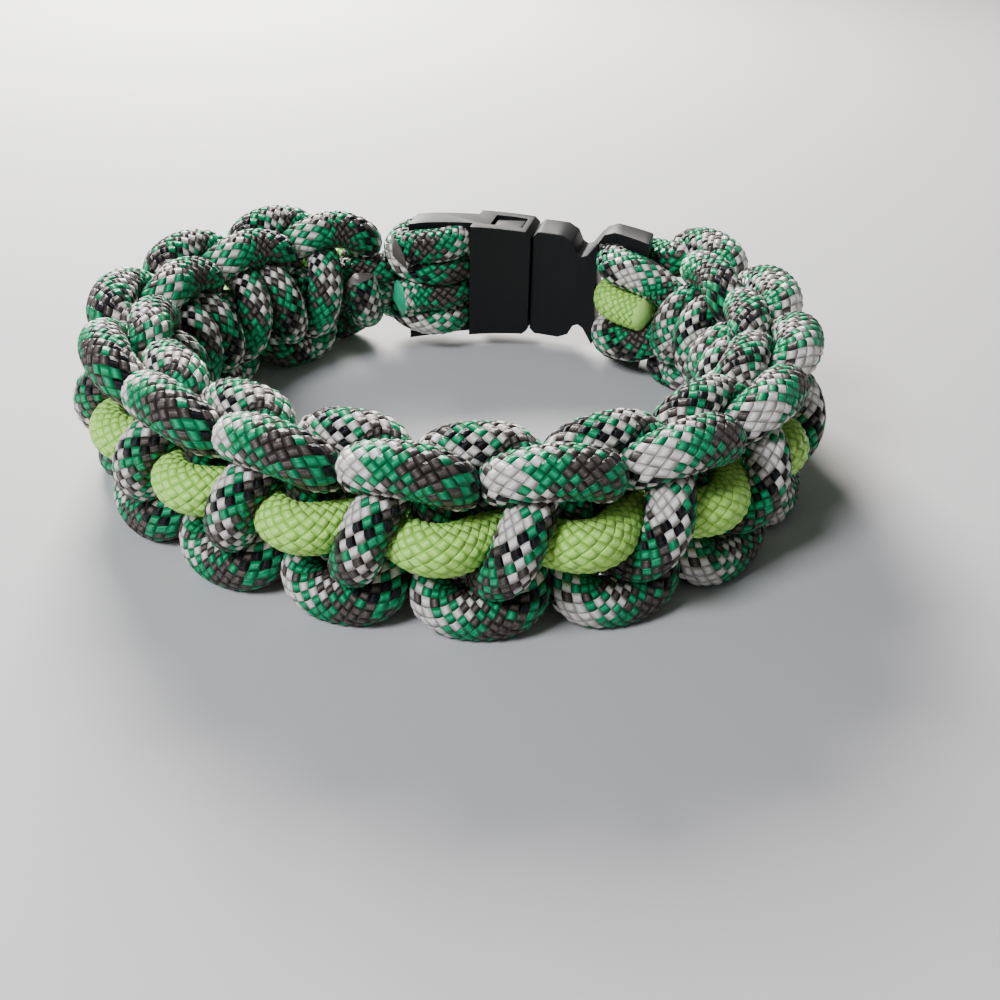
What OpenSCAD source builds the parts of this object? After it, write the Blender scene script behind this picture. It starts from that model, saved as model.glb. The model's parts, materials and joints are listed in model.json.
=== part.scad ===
// Paracord bracelet, closed, lying on its side.
// Two halves of one camouflage cord are knotted over a bright green centre line.
// The cords wrap the end bars of a small bowed side-release buckle.
// The ring's axis is Z. The buckle is at +Y. The lowest loops rest on z = 0.

/* [Cord] */
// Diameter of the round braided cord before the knots squeeze it
cord_d = 4.3; // [3.6:0.1:5.2]
// Length of band that one full knot takes, at the middle of the band
knot_pitch = 10.1; // [9.6:0.1:11.4]
// Number of bars that cross over the green line
knot_count = 13; // [10:1:17]
// Length of band from the socket's bar to the first crossing bar
socket_lead = 13.5; // [12.6:0.1:14.4]
// Length of band from the last crossing bar to the prongs' bar
prongs_lead = 9.0; // [8.8:0.1:11]

/* [Ring] */
// How far the knots are slid round the ring's outline, towards the prongs
ring_shift = -1.9; // [-4:0.1:1]

/* [Buckle] */
// Length of ring between the axes of the two end bars
bar_span = 24.8; // [24:0.1:27]
// Height of the buckle across the band, at the socket's mouth
buckle_h = 12.4; // [12:0.1:13.2]
// Height of the socket's end, over its rails
socket_end_h = 13.8; // [13.6:0.1:14.4]
// Height of the prongs' flared end, over its rails
prongs_end_h = 15.0; // [14.6:0.1:16]
// Height of the waist between the prongs' shoulders and their flared end
waist_h = 8.2; // [7:0.1:9.6]
// Thickness of the socket, and of the prongs' base
buckle_t = 5.6; // [5.2:0.1:6.6]
base_t = 4.6; // [4:0.1:5.2]
// Rise of the buckle's middle above the line through its bars
buckle_bow = 3.2; // [2.4:0.1:3.6]
// Thickness of the bars that the cords wrap, and width of the socket's flat bar
bar_d = 2.0; // [1.6:0.1:2.2]
bar_w = 3.4; // [2.4:0.1:3.6]
// Clear height between the rails that hold a bar
slot_h = 11.6; // [11.5:0.1:12]
// Thickness of the side rails
rail_t = 3.0; // [2.4:0.1:3.6]
// Space left between a wrapped cord and the buckle's body
slot_spare = 0.5; // [0.3:0.1:0.9]
// Wall of the socket
socket_wall = 1.2; // [1:0.1:1.3]
// Distance from the buckle's middle to the socket's mouth
mouth_x = -0.2; // [-0.6:0.1:0.6]
// Length of the windows in the socket's sides
window_l = 3.6; // [3:0.1:3.8]
// Height of each prong where it passes the socket's mouth
prong_h = 1.8; // [1.5:0.1:2]
// Height of the guide rib between the prongs
guide_h = 1.6; // [1.2:0.1:2]
// Gap between parts that slide or press together
gap = 0.15; // [0.1:0.01:0.2]

/* [Hidden] */

// The ring's outline, as seen from above: distances from its middle at even angles, from
// the buckle's side and back to it, as shares of the mean radius
RING_POLES = [0.98, 0.93, 0.96, 1.05, 1.03, 0.925, 0.91, 0.99, 1.045, 1.065, 1.085, 1.05];
RING_DETAIL = 12;

// Columns of the tables: along the band, across it, outward from its core, and thickness
ALONG = 0;
ACROSS = 1;
OUT = 2;
THICK = 3;

// One full knot of the cord that crosses in front of the green line.
// ALONG is a share of the knot pitch, the rest are shares of the cord's diameter.
FRONT_KNOT = [
    [0.00, 0.00, 1.43, 0.71],
    [-0.08, -0.58, 1.23, 0.67],
    [-0.17, -0.89, 0.69, 0.54],
    [-0.08, -1.23, 0.27, 0.49],
    [0.02, -1.45, 0.04, 0.58],
    [0.20, -1.50, 0.11, 0.71],
    [0.42, -1.50, -0.02, 0.58],
    [0.66, -1.21, 0.00, 0.49],
    [0.63, -0.80, 0.45, 0.49],
    [0.49, 0.00, 0.60, 0.49],
    [0.38, 0.74, 0.45, 0.49],
    [0.35, 1.14, -0.04, 0.48],
    [0.57, 1.47, 0.00, 0.58],
    [0.79, 1.52, 0.09, 0.71],
    [1.00, 1.50, 0.00, 0.58],
    [1.14, 1.30, 0.27, 0.49],
    [1.18, 0.92, 0.69, 0.54],
    [1.08, 0.58, 1.21, 0.67]
];

// Half a knot of the cord that crosses behind the core. The other half is the same
// half a pitch on, upside down.
BACK_HALF = [
    [-0.09, 0.83, -0.16, 0.47],
    [-0.12, 1.03, 0.54, 0.49],
    [-0.03, 1.43, 0.98, 0.67],
    [0.18, 1.54, 1.05, 0.80],
    [0.41, 1.52, 1.05, 0.80],
    [0.60, 1.32, 1.00, 0.67],
    [0.66, 0.92, 0.60, 0.49],
    [0.63, 0.85, -0.13, 0.47],
    [0.60, 0.47, -0.63, 0.56],
    [0.50, -0.42, -0.65, 0.56]
];

// One full knot of the green centre line: under a bar, then over the next
CENTRE_KNOT = [
    [0.0, 0, 0.45, 0.54],
    [0.2, 0, 0.78, 0.62],
    [0.4, 0, 1.23, 0.76],
    [0.6, 0, 1.23, 0.76],
    [0.8, 0, 0.78, 0.62]
];

// Places where the two core cords run, as shares of the cord's diameter, and how far their
// rows are slid along the band, as a share of the knot pitch
CORE_ACROSS = 0.25;
CORE_THICK = 0.47;
CORE_SHIFT = 0.1;
// Thickness of a cord where it wraps a bar
WRAP_THICK = 0.63;
// Levels of the wraps on a bar, from its middle
INNER_WRAP = 0.34;
OUTER_WRAP = 1.00;

// From the last knot round the prongs' bar and back into the core. ALONG is counted
// from the bar's axis, and all columns are shares of the cord's diameter.
FRONT_TO_PRONGS = [[-1.10, -1.35, 0.30, 0.58], [-0.65, -1.10, 0.60, 0.63]];
BACK_TO_PRONGS = [[-0.95, 1.20, 0.85, 0.63], [-0.55, 1.05, 0.66, 0.63]];
PRONGS_TO_CORE = [
    [-0.65, 0.98, -0.55, 0.60],
    [-1.05, 0.66, -0.22, 0.52],
    [-1.45, 0.34, 0.01, 0.47],
    [-1.95, 0.25, 0.03, 0.46]
];
CENTRE_TO_PRONGS = [[-1.15, 0.00, 0.62, 0.58], [-0.60, 0.00, 0.62, 0.63]];
CENTRE_TAIL = [[-0.60, 0.00, -0.62, 0.58], [-1.00, 0.00, -0.60, 0.50], [-1.25, 0.00, -0.60, 0.46]];

// From the core to the socket's bar, and the ends that lie back from it
UPPER_TO_SOCKET = [[1.60, 0.27, -0.04, 0.47], [1.15, 0.24, 0.05, 0.54], [0.62, 0.29, 0.56, 0.63]];
LOWER_TO_SOCKET = [
    [1.70, -0.25, 0.00, 0.47],
    [1.30, -0.30, 0.05, 0.52],
    [0.95, -0.84, 0.36, 0.60],
    [0.52, -1.04, 0.64, 0.63]
];
UPPER_TAIL = [[0.60, 1.02, -0.60, 0.63], [1.05, 0.92, -0.66, 0.60], [1.45, 0.72, -0.66, 0.54]];
LOWER_TAIL = [[0.60, -0.30, -0.62, 0.63], [1.05, -0.30, -0.68, 0.60], [1.45, -0.34, -0.68, 0.54]];
CENTRE_START = [[1.08, 0.00, 0.66, 0.42], [1.18, 0.00, 0.76, 0.46], [1.34, 0.00, 0.95, 0.56]];

// Sides of a cord's tube and how its curve is cut into rings
CORD_SIDES = 8;
RING_STEP = 0.75;
CENTRE_STEP = 0.7;
WRAP_STEP = 45;
HALF_TURN = 180;
// A spline through points 45 degrees apart lies this share inside them
SPLINE_SHRINK = 0.902;

first_bar_s = -ring_len() / 2 + bar_span / 2 + socket_lead;
socket_bar_s = first_bar_s - socket_lead;
prongs_bar_s = first_bar_s + (knot_count - 1) * knot_pitch + prongs_lead;

// Length of the closed ring at the middle of the band
function ring_len() = bar_span + socket_lead + prongs_lead + (knot_count - 1) * knot_pitch;

// The outline as a closed smooth curve near its poles, and the length of its pieces
pole_count = len(RING_POLES);
function pole(i) =
    let (k = (i + pole_count) % pole_count, a = -180 + 360 * k / pole_count)
    RING_POLES[k] * [sin(a), -cos(a)];
unit_outline = [for (i = [0:pole_count - 1], j = [0:RING_DETAIL - 1])
    blend([pole(i - 1), pole(i), pole(i + 1), pole(i + 2)], 0, j / RING_DETAIL)];
outline_count = len(unit_outline);
function outline_at(i) = unit_outline[i % outline_count];
unit_arc = [for (i = 0, s = 0; i <= outline_count;
    s = s + norm(outline_at(i + 1) - outline_at(i)), i = i + 1) s];

// Places on the outline by arc length, counted from the side opposite the buckle
ring_scale = ring_len() / unit_arc[outline_count];
near_side = unit_arc[outline_count / 2];
function places(axis) =
    [for (i = [0:outline_count]) [(unit_arc[i] - near_side) * ring_scale, outline_at(i)[axis] * ring_scale]];
x_places = places(0);
y_places = places(1);
function on_ring(s) =
    let (start = x_places[0][0], turns = floor((s - start) / ring_len())) s - turns * ring_len();
function ring_point(s) =
    let (v = on_ring(s + ring_shift)) [lookup(v, x_places), lookup(v, y_places)];
TANGENT_STEP = 0.5;
function ring_tangent(s) = unit(ring_point(s + TANGENT_STEP) - ring_point(s - TANGENT_STEP));

// A point s along the ring, t across the band and n outward, with its thickness
function in_space(p) =
    let (c = ring_point(p[ALONG]), d = ring_tangent(p[ALONG]))
    [c[0] + p[OUT] * d[1], c[1] - p[OUT] * d[0], p[ACROSS], p[THICK]];

// Table rows in millimetres: a knot's, and those counted from a bar
function knot_row(k, r) =
    [first_bar_s + (k + r[ALONG]) * knot_pitch, r[ACROSS] * cord_d, r[OUT] * cord_d, r[THICK] * cord_d];
function bar_row(s, r) = [s + r[ALONG] * cord_d, r[ACROSS] * cord_d, r[OUT] * cord_d, r[THICK] * cord_d];
function bar_rows(s, rows) = [for (r = rows) bar_row(s, r)];
function flip(r) = [r[ALONG], -r[ACROSS], r[OUT], r[THICK]];
function next_half(r) = [r[ALONG] + 0.5, -r[ACROSS], r[OUT], r[THICK]];
function reversed(v) = [for (i = [len(v) - 1:-1:0]) v[i]];

// Distance from a bar's axis to the middle of a cord that wraps it
function wrap_reach(bar) = bar / 2 + WRAP_THICK * cord_d / 2 + gap;

// Turns round a bar from one angle to another; 90 degrees is the outer side, 0 is along the
// band. The cord shifts to its second level over the second half turn.
function turns(s, width, from, to, level0, level1) =
    let (count = round(abs(to - from) / WRAP_STEP))
    [for (i = [0:count])
        let (
            a = from + (to - from) * i / count,
            shift = min(1, max(0, abs(a - from) / HALF_TURN - 1))
        )
        [s + cos(a) * wrap_reach(width) / SPLINE_SHRINK, (level0 + (level1 - level0) * shift) * cord_d,
            sin(a) * wrap_reach(bar_d) / SPLINE_SHRINK, WRAP_THICK * cord_d]];

// The hidden core run of a cord, from the prongs to the socket
function core_run(side) =
    [for (i = [2 * knot_count - 3:-1:0])
        [first_bar_s + (i / 2 + CORE_SHIFT) * knot_pitch, side * CORE_ACROSS * cord_d, 0, CORE_THICK * cord_d]];

// Point at parameter w between the second and third of four control points
function blend(p, i, w) =
    (pow(1 - w, 3) * p[i] + (3 * pow(w, 3) - 6 * w * w + 4) * p[i + 1]
        + (-3 * pow(w, 3) + 3 * w * w + 3 * w + 1) * p[i + 2] + pow(w, 3) * p[i + 3]) / 6;
function curve(p, step) =
    let (spans = len(p) - 3, count = floor(spans / step))
    [for (j = [0:count]) let (v = j * spans / count, i = min(floor(v), spans - 1)) blend(p, i, v - i)];

// One tube swept along points in space, as vertices ring by ring
function unit(v) = v / norm(v);
function place(p) = [p[0], p[1], p[2]];
function heading(path, i) = unit(place(path[min(i + 1, len(path) - 1)]) - place(path[max(i - 1, 0)]));
START_SIDE = [0.1, 0.2, 1];
function carried(side, along) = unit(side - (side * along) * along);
function rings(path, sides) =
    let (
        frames = [for (i = 0, a = heading(path, 0), b = carried(START_SIDE, a);
                i < len(path);
                i = i + 1, a = heading(path, min(i, len(path) - 1)), b = carried(b, a)) [a, b]]
    )
    [for (i = [0:len(path) - 1], j = [0:sides - 1])
        let (a = frames[i][0], b = frames[i][1], w = 360 * j / sides)
        place(path[i]) + path[i][3] / 2 * (cos(w) * b + sin(w) * cross(a, b))];
module tube(points, sides) {
    count = len(points) / sides;
    walls = [for (i = [0:count - 2], j = [0:sides - 1])
        let (k = (j + 1) % sides)
        each [[i * sides + j, (i + 1) * sides + j, i * sides + k],
            [i * sides + k, (i + 1) * sides + j, (i + 1) * sides + k]]];
    start_cap = [[for (j = [0:sides - 1]) j]];
    end_cap = [[for (j = [sides - 1:-1:0]) (count - 1) * sides + j]];
    polyhedron(points, concat(walls, start_cap, end_cap), convexity = 10);
}

// Whole routes of the three cords. The first and last knots are cut short, so their rows
// are counted out of the tables.
BACK_KNOT = concat(BACK_HALF, [for (r = BACK_HALF) next_half(r)]);
last = knot_count - 1;
front_route = concat(
    [for (i = [7:17]) knot_row(-1, FRONT_KNOT[i])],
    [for (k = [0:last - 1], r = FRONT_KNOT) knot_row(k, r)],
    [for (i = [0:6]) knot_row(last, FRONT_KNOT[i])],
    bar_rows(prongs_bar_s, FRONT_TO_PRONGS),
    turns(prongs_bar_s, bar_d, 90, -90, -OUTER_WRAP, -OUTER_WRAP),
    bar_rows(prongs_bar_s, [for (r = PRONGS_TO_CORE) flip(r)]),
    core_run(-1),
    bar_rows(socket_bar_s, LOWER_TO_SOCKET),
    turns(socket_bar_s, bar_w, 90, 90 + 3 * HALF_TURN, -OUTER_WRAP, -INNER_WRAP),
    bar_rows(socket_bar_s, LOWER_TAIL)
);
back_route = concat(
    [for (i = [7:19]) knot_row(-1, BACK_KNOT[i])],
    [for (k = [0:last - 1], r = BACK_KNOT) knot_row(k, r)],
    [for (i = [0:5]) knot_row(last, BACK_KNOT[i])],
    bar_rows(prongs_bar_s, BACK_TO_PRONGS),
    turns(prongs_bar_s, bar_d, 90, -90, OUTER_WRAP, OUTER_WRAP),
    bar_rows(prongs_bar_s, PRONGS_TO_CORE),
    core_run(1),
    bar_rows(socket_bar_s, UPPER_TO_SOCKET),
    turns(socket_bar_s, bar_w, 90, 90 + 3 * HALF_TURN, INNER_WRAP, OUTER_WRAP),
    bar_rows(socket_bar_s, UPPER_TAIL)
);
centre_route = concat(
    bar_rows(socket_bar_s, CENTRE_START),
    [for (i = [2:4]) knot_row(-1, CENTRE_KNOT[i])],
    [for (k = [0:last - 1], r = CENTRE_KNOT) knot_row(k, r)],
    [for (i = [0:1]) knot_row(last, CENTRE_KNOT[i])],
    bar_rows(prongs_bar_s, CENTRE_TO_PRONGS),
    turns(prongs_bar_s, bar_d, 90, -90, 0, 0),
    bar_rows(prongs_bar_s, CENTRE_TAIL)
);

function swept(route, step) = rings([for (p = curve(route, step)) in_space(p)], CORD_SIDES);
front_points = swept(front_route, RING_STEP);
back_points = swept(back_route, RING_STEP);
centre_points = swept(centre_route, CENTRE_STEP);

// The buckle's own frame: X runs from the socket's bar to the prongs' bar, Y is outward
socket_bar = ring_point(socket_bar_s);
prongs_bar = ring_point(prongs_bar_s);
bar_chord = norm(prongs_bar - socket_bar);
buckle_turn = atan2(prongs_bar[1] - socket_bar[1], prongs_bar[0] - socket_bar[0]);
bow_r = (pow(bar_chord / 2, 2) + pow(buckle_bow, 2)) / (2 * buckle_bow);

// The part stands on its lowest loops, with its box centred on the Z axis
all_points = concat(front_points, back_points, centre_points);
xs = [for (p = all_points) p[0]];
ys = [for (p = all_points) p[1]];
zs = [for (p = all_points) p[2]];
buckle_top = buckle_outer_y();
seat = [-(min(xs) + max(xs)) / 2, -(min(ys) + max(max(ys), buckle_top)) / 2, -min(zs)];

// Highest Y of the buckle's outer face
function buckle_outer_y() =
    (socket_bar[1] + prongs_bar[1]) / 2 + cos(buckle_turn) * (buckle_bow - bow_r) + bow_r + buckle_t / 2;

module cord(points, tone) {
    color(tone) translate(seat) tube(points, CORD_SIDES);
}
module cord_front() { cord(front_points, "seagreen"); }
module cord_back() { cord(back_points, "rosybrown"); }
module centre_line() { cord(centre_points, "yellowgreen"); }

// Puts a piece of the buckle in its place on the ring
module at_buckle() {
    middle = (socket_bar + prongs_bar) / 2;
    translate(seat) translate([middle[0], middle[1], 0]) rotate([0, 0, buckle_turn]) children();
}

// A plate bowed about Z, thick as given, through the bars' axes, from x0 to x1
OVERRUN = 1;
BOW_SIDES = 96;
module bowed(thick, x0, x1, height) {
    intersection() {
        translate([0, buckle_bow - bow_r, -height / 2]) difference() {
            cylinder(r = bow_r + thick / 2, h = height, $fn = BOW_SIDES);
            translate([0, 0, -OVERRUN])
                cylinder(r = bow_r - thick / 2, h = height + 2 * OVERRUN, $fn = BOW_SIDES);
        }
        translate([x0, -bow_r / 2, -height / 2 - OVERRUN]) cube([x1 - x0, bow_r, height + 2 * OVERRUN]);
    }
}

// Side outline cut: keeps what lies inside a symmetric profile of [x, half height] rows
module within(profile) {
    intersection() {
        children();
        side_shape(profile);
    }
}
module side_shape(profile) {
    both = concat(profile, [for (p = reversed(profile)) [p[0], -p[1]]]);
    rotate([90, 0, 0]) linear_extrude(height = 4 * buckle_t, center = true) polygon(both);
}

end_x = bar_chord / 2;
socket_back = -end_x + wrap_reach(bar_w) + WRAP_THICK * cord_d / 2 + slot_spare;
base_end = end_x - wrap_reach(bar_d) - WRAP_THICK * cord_d / 2 - slot_spare;
rail_end = end_x + rail_t / 2;

// End bar, on the side given by the sign, with its flat along the ring and its ends let into
// the rails
module end_bar(side, width, height) {
    along = ring_tangent(side > 0 ? prongs_bar_s : socket_bar_s);
    translate([side * end_x, 0, 0]) rotate([0, 0, atan2(along[1], along[0]) - buckle_turn])
        scale([width / bar_d, 1, 1])
        cylinder(d = bar_d, h = (slot_h + height) / 2, center = true, $fn = 32);
}

cavity_t = buckle_t - 2 * socket_wall;
cavity_h = buckle_h - 2 * socket_wall;
window_x = mouth_x - socket_wall - window_l;
corner = socket_wall / 2;
mid_h = buckle_h / 2;

// Socket: hollow body with side windows, rails and a flat bar
module buckle_socket() {
    color("dimgray") at_buckle() {
        difference() {
            within([[-rail_end, socket_end_h / 2], [-end_x, socket_end_h / 2],
                [mouth_x - corner, mid_h], [mouth_x, mid_h - corner]])
                union() {
                    bowed(buckle_t, socket_back, mouth_x, socket_end_h);
                    bowed(rail_t, -rail_end, socket_back + socket_wall, socket_end_h);
                }
            bowed(buckle_t, -rail_end - OVERRUN, socket_back, slot_h);
            bowed(cavity_t, socket_back + socket_wall, mouth_x + OVERRUN, cavity_h);
            bowed(cavity_t, window_x, window_x + window_l, socket_end_h + 2 * OVERRUN);
        }
        end_bar(-1, bar_w, socket_end_h);
    }
}

// Prongs: base with shoulders, waist and flared end, two sprung arms whose heads fill the
// windows, a guide rib and a round bar
SHOULDER_SHARE = 0.45;
WAIST_SHARE = 0.76;
module buckle_prongs() {
    base_x = mouth_x + gap;
    base_l = base_end - base_x;
    arm_t = cavity_t - 2 * gap;
    arm_z = cavity_h / 2 - gap - prong_h;
    shoulder_x = base_x + SHOULDER_SHARE * base_l;
    waist_x = base_x + WAIST_SHARE * base_l;
    flare_x = base_end + slot_spare;
    color("darkslategray") at_buckle() {
        difference() {
            within([[base_x, mid_h - corner], [base_x + corner, mid_h], [shoulder_x, mid_h],
                [(shoulder_x + waist_x) / 2, mid_h - corner],
                [waist_x - corner, waist_h / 2 + corner / 2], [waist_x, waist_h / 2],
                [waist_x + corner, waist_h / 2 + corner / 2],
                [flare_x, prongs_end_h / 2 - corner], [flare_x + 2 * corner, prongs_end_h / 2],
                [rail_end, prongs_end_h / 2]])
                union() {
                    bowed(base_t, base_x, base_end, prongs_end_h);
                    bowed(rail_t, waist_x, rail_end, prongs_end_h);
                }
            bowed(base_t, base_end, rail_end + OVERRUN, slot_h);
        }
        for (up = [-1, 1]) {
            translate([0, 0, up * (arm_z + prong_h / 2)])
                bowed(arm_t, window_x + gap, base_x + corner, prong_h);
            translate([0, 0, up * (cavity_h / 2 - gap + socket_wall / 2)])
                bowed(arm_t, window_x + gap, window_x + window_l - gap, socket_wall);
        }
        bowed(arm_t, socket_back + 2 * socket_wall, base_x + corner, guide_h);
        end_bar(1, bar_d, prongs_end_h);
    }
}

cord_front();
cord_back();
centre_line();
buckle_socket();
buckle_prongs();
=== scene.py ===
import json
import math

import bpy
import numpy as np
from mathutils import Matrix, Vector

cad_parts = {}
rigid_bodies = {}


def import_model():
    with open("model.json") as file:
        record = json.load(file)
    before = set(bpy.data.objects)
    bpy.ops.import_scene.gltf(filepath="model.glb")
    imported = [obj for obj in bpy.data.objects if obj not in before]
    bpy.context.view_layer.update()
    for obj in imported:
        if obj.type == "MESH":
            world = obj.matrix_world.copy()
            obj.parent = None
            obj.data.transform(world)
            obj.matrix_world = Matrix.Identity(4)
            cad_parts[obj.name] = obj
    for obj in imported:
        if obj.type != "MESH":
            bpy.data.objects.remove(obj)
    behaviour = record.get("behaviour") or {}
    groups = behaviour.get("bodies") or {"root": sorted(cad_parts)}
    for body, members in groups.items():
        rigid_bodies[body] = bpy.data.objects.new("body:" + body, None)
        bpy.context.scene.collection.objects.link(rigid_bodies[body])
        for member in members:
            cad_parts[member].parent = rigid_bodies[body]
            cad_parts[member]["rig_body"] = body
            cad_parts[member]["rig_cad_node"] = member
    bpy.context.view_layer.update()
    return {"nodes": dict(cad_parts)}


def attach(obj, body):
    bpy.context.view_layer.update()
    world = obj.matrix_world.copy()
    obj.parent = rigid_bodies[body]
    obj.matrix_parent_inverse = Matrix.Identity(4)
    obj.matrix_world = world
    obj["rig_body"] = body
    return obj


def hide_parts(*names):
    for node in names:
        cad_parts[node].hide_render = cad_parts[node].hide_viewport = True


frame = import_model()

# Camera: a phone held close above the near side, looking down at about 33 degrees.
# Its place was fitted to the knots, loops and buckle corners seen in the photograph.
MM = 0.001
CAMERA_AT = Vector((24.2, -102.4, 61.6)) * MM
CAMERA_TURN = math.radians(10.43)
CAMERA_PITCH = math.radians(32.63)
CAMERA_ROLL = math.radians(1.58)
FOCAL_PIXELS = 1200
IMAGE_PIXELS = 1000
SENSOR_MM = 36
camera_data = bpy.data.cameras.new("camera")
camera_data.sensor_width = SENSOR_MM
camera_data.lens = SENSOR_MM * FOCAL_PIXELS / IMAGE_PIXELS
camera_data.clip_start = 1 * MM
camera = bpy.data.objects.new("camera", camera_data)
bpy.context.scene.collection.objects.link(camera)
camera.matrix_world = (
    Matrix.Translation(CAMERA_AT)
    @ Matrix.Rotation(CAMERA_TURN, 4, "Z")
    @ Matrix.Rotation(math.pi / 2 - CAMERA_PITCH, 4, "X")
    @ Matrix.Rotation(CAMERA_ROLL, 4, "Z")
)
bpy.context.scene.camera = camera

# Floor and light: a plain pale table under a soft window behind and to the left, with a
# weaker light from the near left and a pale room all round. Places and sizes are in metres.
FLOOR_SPAN = 4
FLOOR_GREY = "#c4c2c2"
ROOM_TINT = "#eef0f4"
ROOM_STRENGTH = 0.145


def srgb(code):
    """A hex colour turned to the linear values that a shader works in."""
    parts = [int(code[i:i + 2], 16) / 255 for i in (1, 3, 5)]
    return [c / 12.92 if c <= 0.04045 else ((c + 0.055) / 1.055) ** 2.4 for c in parts] + [1]


def add_node(tree, kind, links=None, output=0, **settings):
    """Adds a node and returns an output of it; links maps its inputs to outputs or values."""
    made = tree.nodes.new(kind)
    for name, value in settings.items():
        setattr(made, name, value)
    for name, value in (links or {}).items():
        if isinstance(value, bpy.types.NodeSocket):
            tree.links.new(value, made.inputs[name])
        else:
            made.inputs[name].default_value = value
    return made.outputs[output]


def new_material(name, roughness, specular):
    """A named material whose tree holds its shader alone, which is returned with it."""
    material = bpy.data.materials.new(name)
    material.use_nodes = True
    shader = material.node_tree.nodes["Principled BSDF"]
    shader.inputs["Roughness"].default_value = roughness
    shader.inputs["Specular IOR Level"].default_value = specular
    return material, shader


def soft_light(name, at, size, power, tint):
    """A square area light that faces the bracelet."""
    data = bpy.data.lights.new(name, "AREA")
    data.size = size
    data.energy = power
    data.color = srgb(tint)[:3]
    lamp = bpy.data.objects.new(name, data)
    lamp.location = at
    lamp.rotation_euler = (-Vector(at)).to_track_quat("-Z", "Y").to_euler()
    bpy.context.scene.collection.objects.link(lamp)


bpy.ops.object.select_all(action="DESELECT")
bpy.ops.mesh.primitive_plane_add(size=FLOOR_SPAN, location=(0, 0, 0))
floor = bpy.context.object
floor.name = "floor"
# Matt table: an even pale grey with hardly any shine, on which the soft shadows read
floor_material, floor_shader = new_material("matt table", roughness=0.75, specular=0.25)
floor_shader.inputs["Base Color"].default_value = srgb(FLOOR_GREY)
floor.data.materials.append(floor_material)

world = bpy.data.worlds.new("room")
bpy.context.scene.world = world
world.use_nodes = True
world.node_tree.nodes["Background"].inputs["Color"].default_value = srgb(ROOM_TINT)
world.node_tree.nodes["Background"].inputs["Strength"].default_value = ROOM_STRENGTH

soft_light("window", at=(-0.14, 0.26, 0.18), size=0.14, power=4.35, tint="#fffdf8")
soft_light("fill", at=(-0.13, -0.19, 0.25), size=0.10, power=1.2, tint="#f4f7ff")

# Routes of the cords. One camouflage cord is knotted round its own two core runs and a
# green line: its front half crosses over the green, its back half crosses behind the core.
# Lengths are in millimetres, and s is the distance along the band from its near side.
CORD_D = 4.3
KNOT_PITCH = 10.1
KNOT_COUNT = 13
SOCKET_LEAD = 13.5
PRONGS_LEAD = 9.0
BAR_SPAN = 24.8
BAR_W = 3.4
BAR_T = 2.0
GAP = 0.15

# The band's middle line is a closed spline. Its twelve control points, one every 30 degrees,
# start at the buckle and go round by the left; these are their distances, as shares.
RING_POLES = [0.98, 0.93, 0.96, 1.05, 1.03, 0.925, 0.91, 0.99, 1.045, 1.065, 1.085, 1.05]
POLE_STEP = 30
RING_SHIFT = -1.9
RING_DETAIL = 12
NEAR_POLE = 6
TANGENT_REACH = 0.5

# The knots' points are listed. Each row holds a place along the band in knots, or
# from a bar in cord thicknesses, and then across, outward and thickness, all in thicknesses.
FRONT_KNOT = np.array([
    (0.00, 0.00, 1.43, 0.71),
    (-0.08, -0.58, 1.23, 0.67),
    (-0.17, -0.89, 0.69, 0.54),
    (-0.08, -1.23, 0.27, 0.49),
    (0.02, -1.45, 0.04, 0.58),
    (0.20, -1.50, 0.11, 0.71),
    (0.42, -1.50, -0.02, 0.58),
    (0.66, -1.21, 0.00, 0.49),
    (0.63, -0.80, 0.45, 0.49),
    (0.49, 0.00, 0.60, 0.49),
    (0.38, 0.74, 0.45, 0.49),
    (0.35, 1.14, -0.04, 0.48),
    (0.57, 1.47, 0.00, 0.58),
    (0.79, 1.52, 0.09, 0.71),
    (1.00, 1.50, 0.00, 0.58),
    (1.14, 1.30, 0.27, 0.49),
    (1.18, 0.92, 0.69, 0.54),
    (1.08, 0.58, 1.21, 0.67),
])
BACK_HALF = np.array([
    (-0.09, 0.83, -0.16, 0.47),
    (-0.12, 1.03, 0.54, 0.49),
    (-0.03, 1.43, 0.98, 0.67),
    (0.18, 1.54, 1.05, 0.80),
    (0.41, 1.52, 1.05, 0.80),
    (0.60, 1.32, 1.00, 0.67),
    (0.66, 0.92, 0.60, 0.49),
    (0.63, 0.85, -0.13, 0.47),
    (0.60, 0.47, -0.63, 0.56),
    (0.50, -0.42, -0.65, 0.56),
])
CENTRE_KNOT = np.array([
    (0.0, 0, 0.45, 0.54),
    (0.2, 0, 0.78, 0.62),
    (0.4, 0, 1.23, 0.76),
    (0.6, 0, 1.23, 0.76),
    (0.8, 0, 0.78, 0.62),
])
CORE_SHIFT = 0.1
CORE_ACROSS = 0.25
CORE_THICK = 0.47
FRONT_TO_PRONGS = [(-1.10, -1.35, 0.30, 0.58), (-0.65, -1.10, 0.60, 0.63)]
BACK_TO_PRONGS = [(-0.95, 1.20, 0.85, 0.63), (-0.55, 1.05, 0.66, 0.63)]
PRONGS_TO_CORE = [
    (-0.65, 0.98, -0.55, 0.60),
    (-1.05, 0.66, -0.22, 0.52),
    (-1.45, 0.34, 0.01, 0.47),
    (-1.95, 0.25, 0.03, 0.46),
]
UPPER_TO_SOCKET = [
    (1.60, 0.27, -0.04, 0.47),
    (1.15, 0.24, 0.05, 0.54),
    (0.62, 0.29, 0.56, 0.63),
]
LOWER_TO_SOCKET = [
    (1.70, -0.25, 0.00, 0.47),
    (1.30, -0.30, 0.05, 0.52),
    (0.95, -0.84, 0.36, 0.60),
    (0.52, -1.04, 0.64, 0.63),
]
UPPER_TAIL = [(0.60, 1.02, -0.60, 0.63), (1.05, 0.92, -0.66, 0.60), (1.45, 0.72, -0.66, 0.54)]
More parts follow.
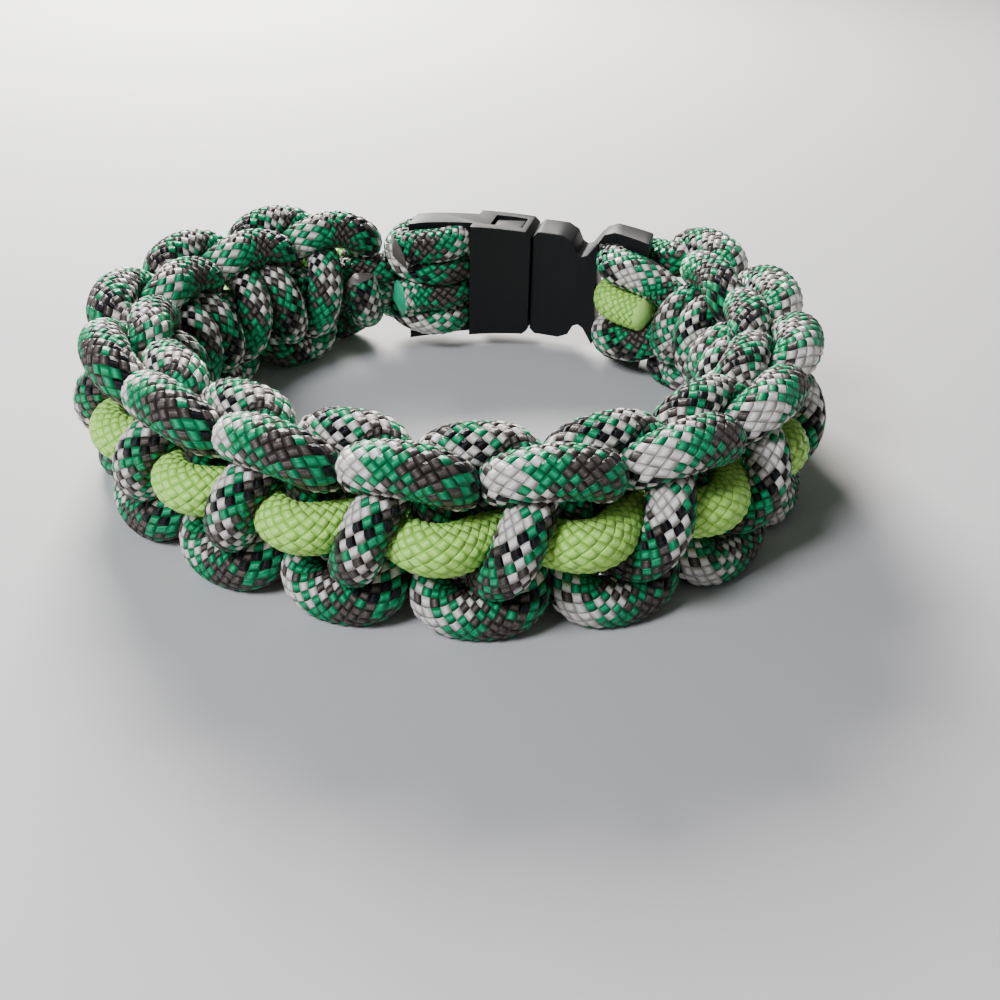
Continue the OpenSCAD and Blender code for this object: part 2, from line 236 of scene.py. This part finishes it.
LOWER_TAIL = [(0.60, -0.30, -0.62, 0.63), (1.05, -0.30, -0.68, 0.60), (1.45, -0.34, -0.68, 0.54)]
CENTRE_START = [(1.08, 0.00, 0.66, 0.42), (1.18, 0.00, 0.76, 0.46), (1.34, 0.00, 0.95, 0.56)]
CENTRE_TO_PRONGS = [(-1.15, 0.00, 0.62, 0.58), (-0.60, 0.00, 0.62, 0.63)]
CENTRE_TAIL = [(-0.60, 0.00, -0.62, 0.58), (-1.00, 0.00, -0.60, 0.50), (-1.25, 0.00, -0.60, 0.46)]

# A turn round a bar is counted in degrees, from 90 on the bar's outer side to -90 on its
# inner side. The spline cuts its corners, so its points lie a little further out.
OUTER_SIDE = 90
INNER_SIDE = -90
INNER_SIDE_LATER = INNER_SIDE + 2 * 360
HALF_TURN = 180
WRAP_STEP = 45
SPLINE_SHRINK = 0.902
WRAP_THICK = 0.63
INNER_WRAP = 0.34
OUTER_WRAP = 1.00


def spline(before, here, after, beyond, detail):
    """Points of a cubic B-spline; each span lies between a row of here and one of after."""
    w = (np.arange(detail) / detail)[None, :, None]
    points = (
        (1 - w) ** 3 * before[:, None] + (3 * w**3 - 6 * w * w + 4) * here[:, None]
        + (-3 * w**3 + 3 * w * w + 3 * w + 1) * after[:, None] + w**3 * beyond[:, None]
    )
    return points.reshape(-1, before.shape[1]) / 6


ring_length = BAR_SPAN + SOCKET_LEAD + PRONGS_LEAD + (KNOT_COUNT - 1) * KNOT_PITCH
socket_bar_s = -ring_length / 2 + BAR_SPAN / 2
first_bar_s = socket_bar_s + SOCKET_LEAD
prongs_bar_s = first_bar_s + (KNOT_COUNT - 1) * KNOT_PITCH + PRONGS_LEAD
pole_angles = np.radians(POLE_STEP * np.arange(len(RING_POLES)) - HALF_TURN)
poles = np.array(RING_POLES)[:, None] * np.column_stack([np.sin(pole_angles), -np.cos(pole_angles)])
outline = spline(*(np.roll(poles, -i, 0) for i in (-1, 0, 1, 2)), RING_DETAIL)
outline = np.vstack([outline, outline[:1]])
outline_arc = np.concatenate([[0], np.cumsum(np.linalg.norm(np.diff(outline, axis=0), axis=1))])
ring_scale = ring_length / outline_arc[-1]
outline = outline * ring_scale
outline_arc = (outline_arc - outline_arc[NEAR_POLE * RING_DETAIL]) * ring_scale


def ring_point(s):
    """Points of the band's middle line."""
    s = np.mod(s + RING_SHIFT - outline_arc[0], ring_length) + outline_arc[0]
    return np.stack([np.interp(s, outline_arc, outline[:, axis]) for axis in (0, 1)], -1)


def ring_place(s):
    """Those points with the outward direction there."""
    along = ring_point(s + TANGENT_REACH) - ring_point(s - TANGENT_REACH)
    along /= np.linalg.norm(along, axis=-1, keepdims=True)
    return ring_point(s), np.stack([along[..., 1], -along[..., 0]], -1)


def knot_rows(first, last, rows, start=0, stop=None):
    """Rows of one knot's table for each knot from first to last, in millimetres."""
    found = [
        [first_bar_s + (k + r[0]) * KNOT_PITCH, r[1] * CORD_D, r[2] * CORD_D, r[3] * CORD_D]
        for k in range(first, last + 1)
        for r in rows[start:stop]
    ]
    return np.array(found)


def bar_rows(bar_s, rows, side=1):
    """Rows counted from a bar's axis, in millimetres; side -1 turns them upside down."""
    along, across, outward, thick = np.array(rows).T * CORD_D
    return np.stack([bar_s + along, side * across, outward, thick], -1)


def bar_turns(bar_s, width, start, end, level_0, level_1):
    """Turns of a cord round a bar. It shifts to its second level over the second half turn."""
    count = round(abs(end - start) / WRAP_STEP)
    turned = (end - start) * np.arange(count + 1) / count
    a = np.radians(start + turned)
    shifted = np.clip(np.abs(turned) / HALF_TURN - 1, 0, 1)
    level = (level_0 + (level_1 - level_0) * shifted) * CORD_D
    thick = WRAP_THICK * CORD_D
    along = bar_s + np.cos(a) * (width / 2 + thick / 2 + GAP) / SPLINE_SHRINK
    outward = np.sin(a) * (BAR_T / 2 + thick / 2 + GAP) / SPLINE_SHRINK
    return np.stack([along, level, outward, np.full(count + 1, thick)], -1)


def core_run(side):
    """The hidden run back through the knots, two points for each."""
    i = np.arange(2 * KNOT_COUNT - 3, -1, -1)
    s = first_bar_s + (i / 2 + CORE_SHIFT) * KNOT_PITCH
    across = np.full(len(i), side * CORE_ACROSS * CORD_D)
    return np.stack([s, across, 0 * s, np.full(len(i), CORE_THICK * CORD_D)], -1)


BACK_KNOT = np.vstack([BACK_HALF, BACK_HALF * (1, -1, 1, 1) + (0.5, 0, 0, 0)])
LAST = KNOT_COUNT - 1
# The band starts and ends inside a knot, at the row where its cord leaves for a bar
routes = {
    "cord_front": np.vstack([
        knot_rows(-1, -1, FRONT_KNOT, start=7),
        knot_rows(0, LAST - 1, FRONT_KNOT),
        knot_rows(LAST, LAST, FRONT_KNOT, stop=7),
        bar_rows(prongs_bar_s, FRONT_TO_PRONGS),
        bar_turns(prongs_bar_s, BAR_T, OUTER_SIDE, INNER_SIDE, -OUTER_WRAP, -OUTER_WRAP),
        bar_rows(prongs_bar_s, PRONGS_TO_CORE, side=-1),
        core_run(side=-1),
        bar_rows(socket_bar_s, LOWER_TO_SOCKET),
        bar_turns(socket_bar_s, BAR_W, OUTER_SIDE, INNER_SIDE_LATER, -OUTER_WRAP, -INNER_WRAP),
        bar_rows(socket_bar_s, LOWER_TAIL),
    ]),
    "cord_back": np.vstack([
        knot_rows(-1, -1, BACK_KNOT, start=7),
        knot_rows(0, LAST - 1, BACK_KNOT),
        knot_rows(LAST, LAST, BACK_KNOT, stop=6),
        bar_rows(prongs_bar_s, BACK_TO_PRONGS),
        bar_turns(prongs_bar_s, BAR_T, OUTER_SIDE, INNER_SIDE, OUTER_WRAP, OUTER_WRAP),
        bar_rows(prongs_bar_s, PRONGS_TO_CORE),
        core_run(side=1),
        bar_rows(socket_bar_s, UPPER_TO_SOCKET),
        bar_turns(socket_bar_s, BAR_W, OUTER_SIDE, INNER_SIDE_LATER, INNER_WRAP, OUTER_WRAP),
        bar_rows(socket_bar_s, UPPER_TAIL),
    ]),
    "centre_line": np.vstack([
        bar_rows(socket_bar_s, CENTRE_START),
        knot_rows(-1, -1, CENTRE_KNOT, start=2),
        knot_rows(0, LAST - 1, CENTRE_KNOT),
        knot_rows(LAST, LAST, CENTRE_KNOT, stop=2),
        bar_rows(prongs_bar_s, CENTRE_TO_PRONGS),
        bar_turns(prongs_bar_s, BAR_T, OUTER_SIDE, INNER_SIDE, 0, 0),
        bar_rows(prongs_bar_s, CENTRE_TAIL),
    ]),
}

# Cords as pressed tubes. Each starts round; where two press on each other, both flatten
# to the surface half way between them, as soft braided nylon does when a knot is drawn tight.
# Each end was cut and melted, which closes it in a low smooth dome.
CARRIERS = 12
SIDES = 2 * CARRIERS
CURVE_DETAIL = 24
SAMPLE_SPACING = 0.6
FREE_SHARE = 0.31
SQUEEZE_SHARE = 0.26
LEAST_SHARE = 0.35
HALVINGS = 6
REACH = 6.0
SELF_CLEAR = 5.0
BAR_REACH = 6
BAR_SPACING = 0.5
RINGS_AT_ONCE = 24
BLUR_PASSES = 3
BLUR_SWELL = 0.04
RELIEF = 0.10
RELIEF_MIDDLE = 0.6
END_DOME = 0.8
FLOOR_CLEAR = 0.01
FIRST_SIDE = np.array((0.1, 0.2, 1.0))
NEIGHBOUR, OWN, BAR = 0, 1, -1

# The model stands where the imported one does: its lowest loops on the floor, its box centred.
SEAT = np.array((-0.329, 1.135, 8.260))


def dense_curve(route):
    """A route's spline in space: arc lengths, and x, y, z, thickness and the way outward."""
    rows = spline(*(route[i:len(route) - 3 + i] for i in range(4)), CURVE_DETAIL)
    point, outward = ring_place(rows[:, 0])
    flat = point + rows[:, 2:3] * outward
    space = np.column_stack([flat, rows[:, 1], rows[:, 3], outward])
    steps = np.linalg.norm(np.diff(space[:, :3], axis=0), axis=1)
    return np.concatenate([[0], np.cumsum(steps)]), space


def at_arc(wanted, arc, space):
    """Rows of a dense curve at the wanted arc lengths."""
    return np.column_stack([np.interp(wanted, arc, column) for column in space.T])


def rest_radius(thickness):
    """A cord's radius before its neighbours press on it, from the thickness in its route."""
    return CORD_D * (FREE_SHARE + SQUEEZE_SHARE * thickness / CORD_D)


def carried_frames(points):
    """Tangents and two side directions that turn as little as they can along the points."""
    along = np.gradient(points, axis=0)
    along /= np.linalg.norm(along, axis=1, keepdims=True)
    side = np.zeros_like(along)
    now = FIRST_SIDE
    for i, direction in enumerate(along):
        now = now - direction * now.dot(direction)
        now /= np.linalg.norm(now)
        side[i] = now
    return along, side, np.cross(along, side)


samples = {}
for name, route in routes.items():
    arc, space = dense_curve(route)
    wanted = np.arange(0, arc[-1], SAMPLE_SPACING)
    samples[name] = (wanted, at_arc(wanted, arc, space))


def obstacles(name):
    """What may press on a cord: rows of place, radius, arc length and kind."""
    rows = []
    for other, (other_arc, points) in samples.items():
        kind = np.full(len(points), OWN if other == name else NEIGHBOUR)
        rows.append(np.column_stack([points[:, :3], rest_radius(points[:, 3]), other_arc, kind]))
    flat = (BAR_W - BAR_T) / 2
    levels = np.arange(-BAR_REACH, BAR_REACH + 0.1, BAR_SPACING)
    for bar_s in (socket_bar_s - flat, socket_bar_s, socket_bar_s + flat, prongs_bar_s):
        middle = np.repeat(ring_point(np.array([bar_s])), len(levels), 0)
        fixed = np.broadcast_to((BAR_T / 2, 0, BAR), (len(levels), 3))
        rows.append(np.column_stack([middle, levels, fixed]))
    return np.vstack(rows)


def pressed_radii(name, arc, centres, directions, radius):
    """Radius at each ring and side, drawn in to the surface half way to each neighbour."""
    factor = np.ones(directions.shape[:2])
    others = obstacles(name)
    for start in range(0, len(centres), RINGS_AT_ONCE):
        part = slice(start, start + RINGS_AT_ONCE)
        middle = centres[part].mean(0)
        span = np.linalg.norm(centres[part] - middle, axis=1).max()
        near = others[np.linalg.norm(others[:, :3] - middle, axis=1) < REACH + span]
        place = near[:, :3]
        own = (near[:, 5] == OWN) & (np.abs(arc[part, None] - near[None, :, 4]) < SELF_CLEAR)
        near_radius = np.where(own, 1e-6, near[None, :, 3])[:, None, :]
        rigid = (near[:, 5] == BAR)[None, None, :]

        def is_free(share):
            """Whether a surface at this share of the radius is clear of all that is near."""
            reach = (radius[part, None] * share)[..., None]
            at = centres[part, None] + directions[part] * reach
            squared = (at**2).sum(-1)[..., None] + (place**2).sum(-1) - 2 * at @ place.T
            needed = near_radius * np.where(rigid, 1.0, share[..., None])
            return (np.sqrt(np.maximum(squared, 0)) >= needed).all(-1)

        low = np.full(factor[part].shape, LEAST_SHARE)
        high = np.ones_like(low)
        free = is_free(high)
        for _ in range(HALVINGS):
            half_way = (low + high) / 2
            good = is_free(half_way)
            low = np.where(good, half_way, low)
            high = np.where(good, high, half_way)
        factor[part] = np.where(free, 1.0, low)
    return factor * radius[:, None]


def blurred(values):
    """Smooths a ring-by-side table a little, round and along."""
    for _ in range(BLUR_PASSES):
        ends = np.vstack([values[:1], values, values[-1:]])
        beside = np.roll(values, 1, 1) + np.roll(values, -1, 1)
        values = (beside + ends[:-2] + ends[2:] + 2 * values) / 6
    return values


def braid_height(a, b):
    """Height of the yarns of a one-over-one braid at lattice place a, b, from 0 to 1."""
    across_a, across_b = 2 * (a - np.floor(a)) - 1, 2 * (b - np.floor(b)) - 1
    return np.sqrt((1 - across_a**2) * (1 - across_b**2))


def cord_mesh(name, first_row, rows_per_knot, leads_per_knot, sense=1, yarn_shift=(0, 0)):
    """A pressed, braided tube with caps; its UV map runs once round and once per braid lead.

    The braid is turned so that the same yarns come up at the same place of every knot, counted
    from the first_row of its route: the camouflage repeats in step with the knots. A sense of
    -1 runs the pattern the other way, and yarn_shift moves it round and along.
    """
    arc, space = dense_curve(routes[name])
    starts = arc[CURVE_DETAIL * (first_row - 1 + rows_per_knot * np.arange(KNOT_COUNT))]
    leads = leads_per_knot * np.arange(KNOT_COUNT)
    lead = (starts[-1] - starts[0]) / leads[-1]
    first_lead, last_lead = -starts[0] / lead, leads[-1] + (arc[-1] - starts[-1]) / lead
    lead_known = np.concatenate([[first_lead], leads, [last_lead]])
    arc_known = np.concatenate([[0], starts, arc[-1:]])
    ring_numbers = np.arange(math.ceil(SIDES * first_lead), math.floor(SIDES * last_lead) + 1)
    ring_lead = ring_numbers / SIDES
    ring_arc = np.interp(ring_lead, lead_known, arc_known)
    points = at_arc(ring_arc, arc, space)
    centres = points[:, :3]
    along, side, other_side = carried_frames(centres)
    at_start = np.searchsorted(ring_arc, starts).clip(0, len(ring_arc) - 1)
    outward = np.column_stack([points[at_start, 4:6], 0 * starts])
    facing = (outward * side[at_start]).sum(1)
    sideways = (outward * other_side[at_start]).sum(1)
    twist = np.interp(ring_arc, starts, np.unwrap(np.arctan2(sideways, facing)))
    angles = (twist[:, None] + 2 * np.pi * (np.arange(SIDES) / SIDES))[..., None]
    directions = np.cos(angles) * side[:, None] + np.sin(angles) * other_side[:, None]
    radii = pressed_radii(name, ring_arc, centres, directions, rest_radius(points[:, 3]))
    radii = np.minimum(blurred(radii), radii + BLUR_SWELL)
    round_share = np.arange(SIDES + 1) / SIDES
    a = CARRIERS * (round_share[None, :-1] - ring_lead[:, None])
    b = CARRIERS * (round_share[None, :-1] + ring_lead[:, None])
    radii = radii + RELIEF * (braid_height(a, b) - RELIEF_MIDDLE)
    verts = centres[:, None] + directions * radii[..., None] + SEAT
    verts[..., 2] = np.maximum(verts[..., 2], FLOOR_CLEAR)
    corners = [tuple(v * MM) for v in verts.reshape(-1, 3)]
    after = (np.arange(SIDES) + 1) % SIDES
    last_ring = len(ring_arc) - 1
    faces = []
    uvs = []
    for i in range(last_ring):
        low, high = i * SIDES, (i + 1) * SIDES
        for j in range(SIDES):
            faces.append((low + j, low + after[j], high + after[j], high + j))
            uvs += [
                (round_share[j], ring_lead[i]), (round_share[j + 1], ring_lead[i]),
                (round_share[j + 1], ring_lead[i + 1]), (round_share[j], ring_lead[i + 1]),
            ]
    # A melted end takes one place of the pattern, and so one colour, and has no weave
    melted = (0.5 + 0.5 / CARRIERS, 0)
    for end, order in ((0, -1), (last_ring, 1)):
        tip = len(corners)
        corners.append(tuple((centres[end] + order * along[end] * END_DOME + SEAT) * MM))
        for j in range(SIDES):
            face = (end * SIDES + j, end * SIDES + int(after[j]), tip)
            faces.append(face if order > 0 else face[::-1])
            uvs += [melted] * 3
    mesh = bpy.data.meshes.new(name + "_braid")
    mesh.from_pydata(corners, [], faces)
    layer = mesh.uv_layers.new(name="braid")
    pattern = sense * np.array(uvs, np.float32) + np.array(yarn_shift, np.float32)
    layer.data.foreach_set("uv", pattern.ravel())
    mesh.polygons.foreach_set("use_smooth", [True] * len(mesh.polygons))
    mesh.update()
    piece = bpy.data.objects.new(name + "_braid", mesh)
    bpy.context.scene.collection.objects.link(piece)
    return piece


# Sheath of the camouflage cord: 24 carriers of flat dyed nylon yarn in a one-over-one braid.
# Twelve wind each way; where yarns of one colour cross they make blocks of white, taupe and
# emerald, and the black ones make small checks.
WHITE = "#eae2da"
TAUPE = "#3a322e"
EMERALD = "#02854c"
BLACK = "#040406"
RIGHT_HAND_YARNS = [
    WHITE, WHITE, WHITE, BLACK, BLACK, EMERALD, TAUPE, TAUPE, TAUPE, EMERALD, EMERALD, EMERALD,
]
LEFT_HAND_YARNS = [
    TAUPE, TAUPE, TAUPE, EMERALD, EMERALD, EMERALD, TAUPE, WHITE, WHITE, WHITE, EMERALD, EMERALD,
]

# A yarn is 0.7 mm wide. Its filaments, which run with it, are drawn about 0.07 mm wide,
# over twice their real width, so that they show.
FILAMENTS = 9
FILAMENT_RUN = 0.8
RIGHT_HAND_SEED = 3.7
LEFT_HAND_SEED = 5.3
FILAMENT_RELIEF = 0.05
FILAMENT_TONES = 0.5
DARKEST_TONE = 0.75
SPREAD = 0.05
FLANK_RISE = 2.5
FLANK_SHARE = 0.3

# Painted highlight: the top of each yarn is painted paler, in its own hue. A gamma under 1 pales a
# colour
PAINTED_HIGHLIGHT_GAMMA = 0.58
PAINTED_HIGHLIGHT_SHARPNESS = 5
PAINTED_HIGHLIGHT_BREAKS = 2.2
PAINTED_HIGHLIGHT_START = -0.5
SATIN_GAMMA = 0.45
SATIN_SHARE = 0.9
SATIN_ROUGHNESS = 0.42
SATIN_LEVEL = 1.0
SATIN_STRETCH = 0.9
SATIN_TURN_RIGHT = 0.375
SATIN_TURN_LEFT = 0.125
SHEEN = 0.05
MATH = "ShaderNodeMath"
MIX = "ShaderNodeMix"


def braid_material(name, right_hand, left_hand, shadow, arch_mm):
    """Woven sheath that reads the cord's own UV map: colour by yarn, height by float.

    It gives the eye small arched yarns with a satin shine across them, a painted highlight on each
    yarn's top and painted shade where they dive.
    """
    material, shader = new_material(name, SATIN_ROUGHNESS, SATIN_LEVEL)
    tree = material.node_tree
    uv = add_node(tree, "ShaderNodeUVMap", uv_map="braid")
    around = add_node(tree, "ShaderNodeSeparateXYZ", {0: uv})
    along = around.node.outputs[1]

    # Lattice of the yarns: a counts those of the right hand, b those of the left
    even = []
    cosines = []
    sines = []
    for operation in ("SUBTRACT", "ADD"):
        wound = add_node(tree, MATH, {0: around, 1: along}, operation=operation)
        number = add_node(tree, MATH, {0: wound, 1: CARRIERS}, operation="MULTIPLY")
        phase = add_node(tree, MATH, {0: number, 1: math.pi}, operation="MULTIPLY")
        even.append(number)
        cosines.append(add_node(tree, MATH, {0: phase}, operation="COSINE"))
        sines.append(add_node(tree, MATH, {0: phase}, operation="SINE"))

    # The upper yarn spreads a little at each crossing and narrows where it dives
    numbers = []
    shares = []
    for hand, spread in ((0, -SPREAD), (1, SPREAD)):
        bend = add_node(tree, MATH, {0: cosines[hand], 1: sines[1 - hand]}, operation="MULTIPLY")
        bent = add_node(tree, MATH, {0: bend, 1: spread, 2: even[hand]}, operation="MULTIPLY_ADD")
        numbers.append(add_node(tree, MATH, {0: bent}, operation="FLOOR"))
        shares.append(add_node(tree, MATH, {0: bent}, operation="FRACT"))
    i, j = numbers
    a_share, b_share = shares
    both_numbers = add_node(tree, MATH, {0: i, 1: j}, operation="ADD")
    parity = add_node(tree, MATH, {0: both_numbers, 1: 2}, operation="FLOORED_MODULO")
    upper = add_node(tree, MATH, {0: parity, 1: 0.5}, operation="LESS_THAN")
    across = add_node(tree, MIX, {0: upper, 2: b_share, 3: a_share}, data_type="FLOAT")
    run = add_node(tree, MIX, {0: upper, 2: a_share, 3: b_share}, data_type="FLOAT")
    i_yarn = add_node(tree, MATH, {0: i, 1: CARRIERS}, operation="FLOORED_MODULO")
    j_yarn = add_node(tree, MATH, {0: j, 1: CARRIERS}, operation="FLOORED_MODULO")
    yarn = add_node(tree, MIX, {0: upper, 2: j_yarn, 3: i_yarn}, data_type="FLOAT")

    # Filaments of each yarn, with a seed of their own for each float
    over = add_node(tree, MATH, {0: across, 1: FILAMENTS}, operation="MULTIPLY")
    onward = add_node(tree, MATH, {0: run, 1: FILAMENT_RUN}, operation="MULTIPLY")
    j_seed = add_node(tree, MATH, {0: j, 1: LEFT_HAND_SEED}, operation="MULTIPLY")
    seed = add_node(
        tree, MATH, {0: i, 1: RIGHT_HAND_SEED, 2: j_seed}, operation="MULTIPLY_ADD"
    )
    fibre_place = add_node(tree, "ShaderNodeCombineXYZ", {0: over, 1: onward, 2: seed})
    fibre = add_node(
        tree, "ShaderNodeTexNoise", {"Vector": fibre_place, "Scale": 1.0, "Detail": 2.0},
        noise_dimensions="3D",
    )

    # Each float is a flat yarn that arches over one neighbour and dives under the next
    crowns = []
    for share in (across, run):
        rest = add_node(tree, MATH, {0: 1, 1: share}, operation="SUBTRACT")
        hump = add_node(tree, MATH, {0: share, 1: rest}, operation="MULTIPLY")
        crowns.append(add_node(tree, MATH, {0: hump, 1: 4}, operation="MULTIPLY"))
    flank = add_node(
        tree, MATH, {0: crowns[0], 1: FLANK_RISE}, operation="MULTIPLY", use_clamp=True
    )
    width = add_node(
        tree, MATH, {0: flank, 1: FLANK_SHARE, 2: 1 - FLANK_SHARE}, operation="MULTIPLY_ADD"
    )
    arch = add_node(tree, MATH, {0: crowns[1], 1: width}, operation="MULTIPLY")
    relief = add_node(
        tree, MATH, {0: fibre, 1: FILAMENT_RELIEF, 2: arch}, operation="MULTIPLY_ADD"
    )

    # Each yarn has its dye, painted shade where it dives, and paler and darker filaments
    yarn_place = add_node(
        tree, MATH, {0: yarn, 1: 1 / CARRIERS, 2: 0.5 / CARRIERS}, operation="MULTIPLY_ADD"
    )
    dyes = []
    for colours in (left_hand, right_hand):
        dye = add_node(tree, "ShaderNodeValToRGB", {0: yarn_place})
        ramp = dye.node.color_ramp
        ramp.interpolation = "CONSTANT"
        ramp.elements.remove(ramp.elements[1])
        ramp.elements[0].position = 0
        ramp.elements[0].color = srgb(colours[0])
        for n in range(1, len(colours)):
            if colours[n] != colours[n - 1]:
                ramp.elements.new(n / CARRIERS).color = srgb(colours[n])
        dyes.append(dye)
    dyed = add_node(tree, MIX, {0: upper, 6: dyes[0], 7: dyes[1]}, output=2, data_type="RGBA")
    sunk = add_node(tree, MATH, {0: 1, 1: arch}, operation="SUBTRACT")
    sunk_more = add_node(tree, MATH, {0: sunk, 1: 2}, operation="POWER")
    painted_dive_shade = add_node(tree, MATH, {0: sunk_more, 1: shadow}, operation="MULTIPLY")
    tone = add_node(
        tree, MATH, {0: fibre, 1: FILAMENT_TONES, 2: DARKEST_TONE}, operation="MULTIPLY_ADD"
    )
    shade = add_node(tree, MATH, {0: tone, 1: painted_dive_shade}, operation="SUBTRACT")
    shaded = add_node(
        tree, MIX, {0: 1.0, 6: dyed, 7: shade}, output=2, data_type="RGBA", blend_type="MULTIPLY"
    )
    # Painted highlight: the top of each float is mixed towards a paler tint of its dye
    painted_highlight_tint = add_node(tree, "ShaderNodeGamma", {0: dyed, 1: PAINTED_HIGHLIGHT_GAMMA})
    painted_highlight_top = add_node(tree, MATH, {0: arch, 1: PAINTED_HIGHLIGHT_SHARPNESS}, operation="POWER")
    painted_highlight_breakup = add_node(
        tree, MATH, {0: fibre, 1: PAINTED_HIGHLIGHT_BREAKS, 2: PAINTED_HIGHLIGHT_START}, operation="MULTIPLY_ADD"
    )
    painted_highlight_band = add_node(tree, MATH, {0: painted_highlight_top, 1: painted_highlight_breakup}, operation="MULTIPLY")
    colour = add_node(
        tree, MIX, {0: painted_highlight_band, 6: shaded, 7: painted_highlight_tint}, output=2, data_type="RGBA", clamp_factor=True
    )
    tree.links.new(colour, shader.inputs["Base Color"])

    # Light that passes through the bright filaments tints their satin, and they spread a
    # highlight across the yarn that they lie in
    hue = add_node(tree, "ShaderNodeGamma", {0: dyed, 1: SATIN_GAMMA})
    satin = add_node(
        tree, MIX, {0: SATIN_SHARE, 6: (1, 1, 1, 1), 7: hue}, output=2, data_type="RGBA"
    )
    grain = add_node(tree, "ShaderNodeTangent", direction_type="UV_MAP", uv_map="braid")
    turn = add_node(
        tree, MIX, {0: upper, 2: SATIN_TURN_LEFT, 3: SATIN_TURN_RIGHT}, data_type="FLOAT"
    )
    bump = add_node(
        tree, "ShaderNodeBump", {"Height": relief, "Strength": 1.0, "Distance": arch_mm * MM}
    )
    tree.links.new(satin, shader.inputs["Specular Tint"])
    tree.links.new(grain, shader.inputs["Tangent"])
    tree.links.new(turn, shader.inputs["Anisotropic Rotation"])
    tree.links.new(bump, shader.inputs["Normal"])
    shader.inputs["Anisotropic"].default_value = SATIN_STRETCH
    shader.inputs["Sheen Weight"].default_value = SHEEN
    return material


# shadow sets how dark the painted shade is where the yarns dive
# The two halves are one cord, so the pattern runs the other way in the front one
camouflage = braid_material(
    "braided nylon, camouflage", RIGHT_HAND_YARNS, LEFT_HAND_YARNS, shadow=0.5, arch_mm=0.36
)
cord_front = cord_mesh(
    "cord_front", first_row=11, rows_per_knot=len(FRONT_KNOT), leads_per_knot=4,
    sense=-1, yarn_shift=(7 / CARRIERS, 1 / CARRIERS),
)
cord_back = cord_mesh(
    "cord_back", first_row=16, rows_per_knot=len(BACK_KNOT), leads_per_knot=5
)
for cord, name in ((cord_front, "cord_front"), (cord_back, "cord_back")):
    cord.data.materials.append(camouflage)
    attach(cord, "root")
    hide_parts(name)

# Centre line: the same braid in one bright yellow-green, laid straight along the band and
# held by the crossings. Its yarns are packed close, so little painted shade darkens them where they
# dive.
NEON = "#b4fb60"
neon_sheath = braid_material(
    "braided nylon, bright green", [NEON], [NEON], shadow=0.12, arch_mm=0.26
)
green_line = cord_mesh(
    "centre_line", first_row=6, rows_per_knot=len(CENTRE_KNOT), leads_per_knot=1.25
)
green_line.data.materials.append(neon_sheath)
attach(green_line, "root")
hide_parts("centre_line")

# Buckle: two injection-moulded halves of black acetal, clicked together. The solids give
# their shape; here the edges are rounded as a mould leaves them.
ACETAL_BLACK = "#1a1a1b"
SPARK_SCALE = 9000.0
SPARK_DEPTH = 0.02 * MM
MERGE = 0.01 * MM
FLAT_ANGLE = math.radians(2)
EDGE_RADIUS = 0.28 * MM
EDGE_SEGMENTS = 3
EDGE_ANGLE = math.radians(35)
SMOOTH_ANGLE = math.radians(40)
# Acetal from a spark-eroded mould: a dull black with a fine even grain of about 0.1 mm
acetal, acetal_shader = new_material("moulded black acetal", roughness=0.5, specular=0.18)
acetal_shader.inputs["Base Color"].default_value = srgb(ACETAL_BLACK)
acetal_tree = acetal.node_tree
place = add_node(acetal_tree, "ShaderNodeTexCoord", output="Object")
spark_grain = add_node(
    acetal_tree, "ShaderNodeTexNoise", {"Vector": place, "Scale": SPARK_SCALE, "Detail": 3.0}
)
grain_bump = add_node(
    acetal_tree, "ShaderNodeBump",
    {"Height": spark_grain, "Strength": 0.25, "Distance": SPARK_DEPTH},
)
acetal_tree.links.new(grain_bump, acetal_shader.inputs["Normal"])
for node in ("buckle_socket", "buckle_prongs"):
    bpy.ops.object.select_all(action="DESELECT")
    half = frame["nodes"][node].copy()
    half.data = frame["nodes"][node].data.copy()
    half.name = node + "_moulded"
    half.parent = None
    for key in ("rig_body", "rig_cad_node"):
        if key in half:
            del half[key]
    bpy.context.scene.collection.objects.link(half)
    half.select_set(True)
    bpy.context.view_layer.objects.active = half
    bpy.ops.object.mode_set(mode="EDIT")
    bpy.ops.mesh.select_all(action="SELECT")
    bpy.ops.mesh.remove_doubles(threshold=MERGE)
    bpy.ops.mesh.dissolve_limited(angle_limit=FLAT_ANGLE)
    bpy.ops.object.mode_set(mode="OBJECT")
    half.data.materials.clear()
    half.data.materials.append(acetal)
    bevel = half.modifiers.new("edges", "BEVEL")
    bevel.width = EDGE_RADIUS
    bevel.segments = EDGE_SEGMENTS
    bevel.limit_method = "ANGLE"
    bevel.angle_limit = EDGE_ANGLE
    bpy.ops.object.modifier_apply(modifier="edges")
    bpy.ops.object.shade_smooth_by_angle(angle=SMOOTH_ANGLE)
    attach(half, "root")
    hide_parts(node)
